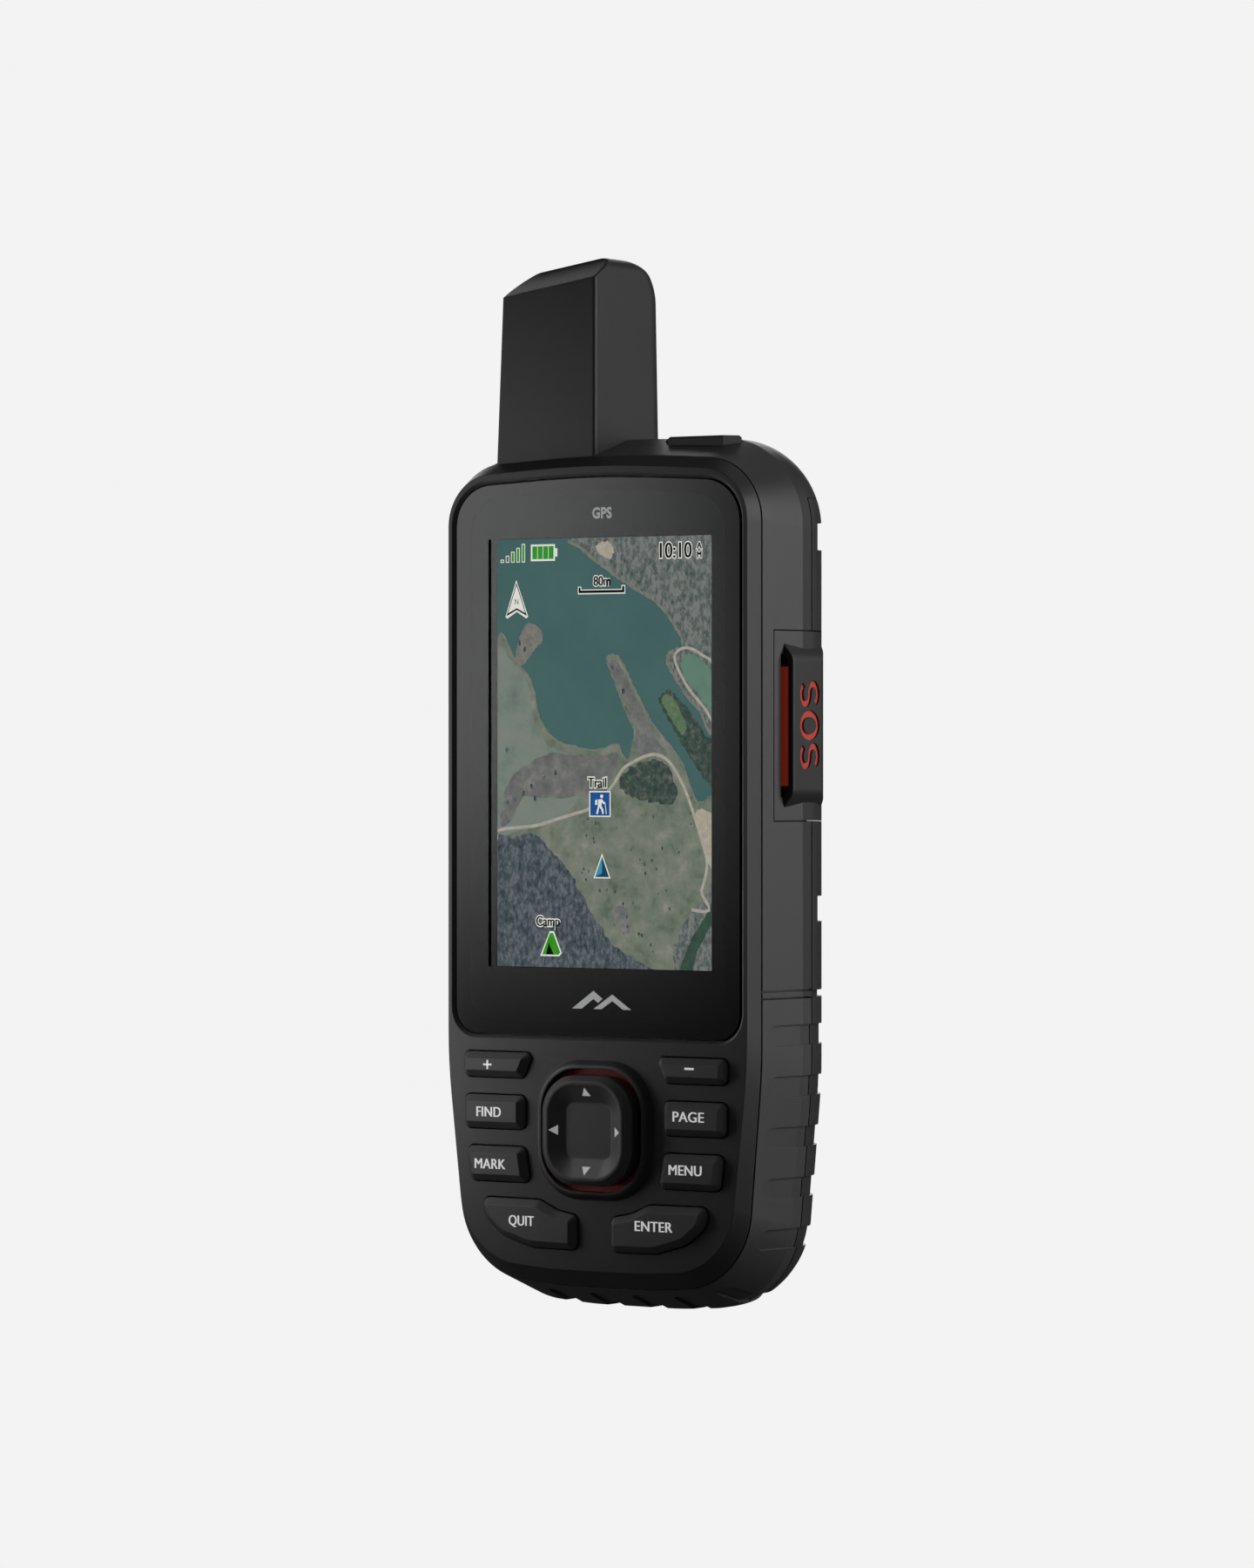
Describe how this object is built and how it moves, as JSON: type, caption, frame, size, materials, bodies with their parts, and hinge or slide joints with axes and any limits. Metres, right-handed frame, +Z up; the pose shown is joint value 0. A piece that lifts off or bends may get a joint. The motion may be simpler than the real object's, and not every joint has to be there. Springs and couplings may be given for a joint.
{
  "type": "handheld gps unit",
  "caption": "Handheld satellite navigator: portrait display, front keypad with thumb pad, stub antenna, guarded emergency button, battery door with ring latch and rear mounting spine.",
  "frame": {"origin": "centre of the flat strip under the case that the unit stands on", "axes": "+Z up along the unit towards the antenna tip, +X to the right seen from the display side, +Y to the rear"},
  "size_m": [0.0616, 0.035, 0.1634],
  "materials": {
    "shell_plastic": "satin",
    "grip_rubber": "matte",
    "antenna_plastic": "satin",
    "antenna_core": "matte",
    "copper": "satin",
    "cable_black": "satin",
    "lens_glass": "polished",
    "gasket_black": "matte",
    "screen": "gloss",
    "carrier_plastic": "matte",
    "key_plastic": "satin",
    "pad_plastic": "satin",
    "pad_frame": "matte",
    "ring_red": "satin",
    "dome_steel": "satin",
    "film": "gloss",
    "guard_plastic": "satin",
    "red_plastic": "satin",
    "red_print": "satin",
    "pin_steel": "satin",
    "latch_metal": "satin",
    "screw_black": "satin",
    "switch_body": "matte",
    "board_green": "satin",
    "battery_wrap": "satin",
    "gold": "polished",
    "shield_tin": "satin",
    "modem_metal": "satin",
    "spine_plastic": "satin"
  },
  "bodies": {
    "case": {"front_housing": "shell_plastic", "middle_housing": "shell_plastic", "rear_cover": "shell_plastic", "battery_door": "shell_plastic", "lower_grip": "grip_rubber", "antenna_housing": "antenna_plastic", "antenna_former": "antenna_core", "antenna_helix": "copper", "antenna_cable": "cable_black", "display_lens": "lens_glass", "lens_gasket": "gasket_black", "keypad_mat": "gasket_black", "display_panel": "screen", "display_carrier": "carrier_plastic", "pad_yoke": "pad_frame", "pad_ring": "ring_red", "snap_domes": "dome_steel", "dome_sheet": "film", "sos_hinge_pin": "pin_steel", "spine_screws": "screw_black", "cover_screws": "screw_black", "case_screws": "screw_black", "power_switch": "switch_body", "sos_switch": "switch_body", "buzzer": "switch_body", "main_board": "board_green", "battery_pack": "battery_wrap", "battery_contacts": "gold", "shield_cans": "shield_tin", "card_socket": "shield_tin", "usb_port": "shield_tin", "modem_module": "modem_metal", "spine_mount": "spine_plastic"},
    "zoom_in_key": {"zoom_in_key": "key_plastic"},
    "zoom_out_key": {"zoom_out_key": "key_plastic"},
    "find_key": {"find_key": "key_plastic"},
    "page_key": {"page_key": "key_plastic"},
    "mark_key": {"mark_key": "key_plastic"},
    "menu_key": {"menu_key": "key_plastic"},
    "quit_key": {"quit_key": "key_plastic"},
    "enter_key": {"enter_key": "key_plastic"},
    "thumb_pad": {"thumb_pad": "pad_plastic"},
    "pad_gimbal": {"pad_gimbal": "pad_frame"},
    "power_button": {"power_button": "key_plastic"},
    "sos_button": {"sos_button": "red_plastic"},
    "usb_cap": {"usb_cap": "grip_rubber"},
    "battery_latch": {"battery_latch": "latch_metal"},
    "d_ring": {"d_ring": "pin_steel"},
    "sos_cover": {"sos_cover": "guard_plastic", "sos_legend": "red_print"}
  },
  "joints": [
    {"name": "zoom_in_key_press", "type": "slide", "parent": "case", "child": "zoom_in_key", "axis": [0, 1, 0], "range_m": [0, 0.0004], "stiffness_N_per_m": 800, "springref_m": -0.002},
    {"name": "zoom_out_key_press", "type": "slide", "parent": "case", "child": "zoom_out_key", "axis": [0, 1, 0], "range_m": [0, 0.0004], "stiffness_N_per_m": 800, "springref_m": -0.002},
    {"name": "find_key_press", "type": "slide", "parent": "case", "child": "find_key", "axis": [0, 1, 0], "range_m": [0, 0.0004], "stiffness_N_per_m": 800, "springref_m": -0.002},
    {"name": "page_key_press", "type": "slide", "parent": "case", "child": "page_key", "axis": [0, 1, 0], "range_m": [0, 0.0004], "stiffness_N_per_m": 800, "springref_m": -0.002},
    {"name": "mark_key_press", "type": "slide", "parent": "case", "child": "mark_key", "axis": [0, 1, 0], "range_m": [0, 0.0004], "stiffness_N_per_m": 800, "springref_m": -0.002},
    {"name": "menu_key_press", "type": "slide", "parent": "case", "child": "menu_key", "axis": [0, 1, 0], "range_m": [0, 0.0004], "stiffness_N_per_m": 800, "springref_m": -0.002},
    {"name": "quit_key_press", "type": "slide", "parent": "case", "child": "quit_key", "axis": [0, 1, 0], "range_m": [0, 0.0004], "stiffness_N_per_m": 800, "springref_m": -0.002},
    {"name": "enter_key_press", "type": "slide", "parent": "case", "child": "enter_key", "axis": [0, 1, 0], "range_m": [0, 0.0004], "stiffness_N_per_m": 800, "springref_m": -0.002},
    {"name": "power_button_press", "type": "slide", "parent": "case", "child": "power_button", "axis": [0, 0, -1], "range_m": [0, 0.0004], "stiffness_N_per_m": 900, "springref_m": -0.002},
    {"name": "sos_button_press", "type": "slide", "parent": "case", "child": "sos_button", "axis": [-1, 0, 0], "range_m": [0, 0.0005], "stiffness_N_per_m": 900, "springref_m": -0.0003},
    {"name": "pad_tilt_up_down", "type": "hinge", "parent": "case", "child": "pad_gimbal", "pos_m": [0, -0.00915, 0.0281], "axis": [1, 0, 0], "range_deg": [-3, 3], "stiffness_Nm_per_rad": 0.25},
    {"name": "pad_tilt_left_right", "type": "hinge", "parent": "pad_gimbal", "child": "thumb_pad", "pos_m": [0, -0.00915, 0.0281], "axis": [0, 0, 1], "range_deg": [-3, 3], "stiffness_Nm_per_rad": 0.25},
    {"name": "sos_cover_hinge", "type": "hinge", "parent": "case", "child": "sos_cover", "pos_m": [0.02805, 0.00505, 0.09045], "axis": [0, 0, 1], "range_deg": [0, 82]},
    {"name": "usb_cap_hinge", "type": "hinge", "parent": "case", "child": "usb_cap", "pos_m": [-0.0303, -0.00435, 0.0841], "axis": [0, -1, 0], "range_deg": [0, 100], "stiffness_Nm_per_rad": 0.002},
    {"name": "battery_latch_turn", "type": "hinge", "parent": "case", "child": "battery_latch", "pos_m": [0, 0.00665, 0.0165], "axis": [0, 1, 0], "range_deg": [0, 90]},
    {"name": "d_ring_fold", "type": "hinge", "parent": "battery_latch", "child": "d_ring", "pos_m": [0, 0.0095, 0.0165], "axis": [-1, 0, 0], "range_deg": [0, 170]}
  ]
}
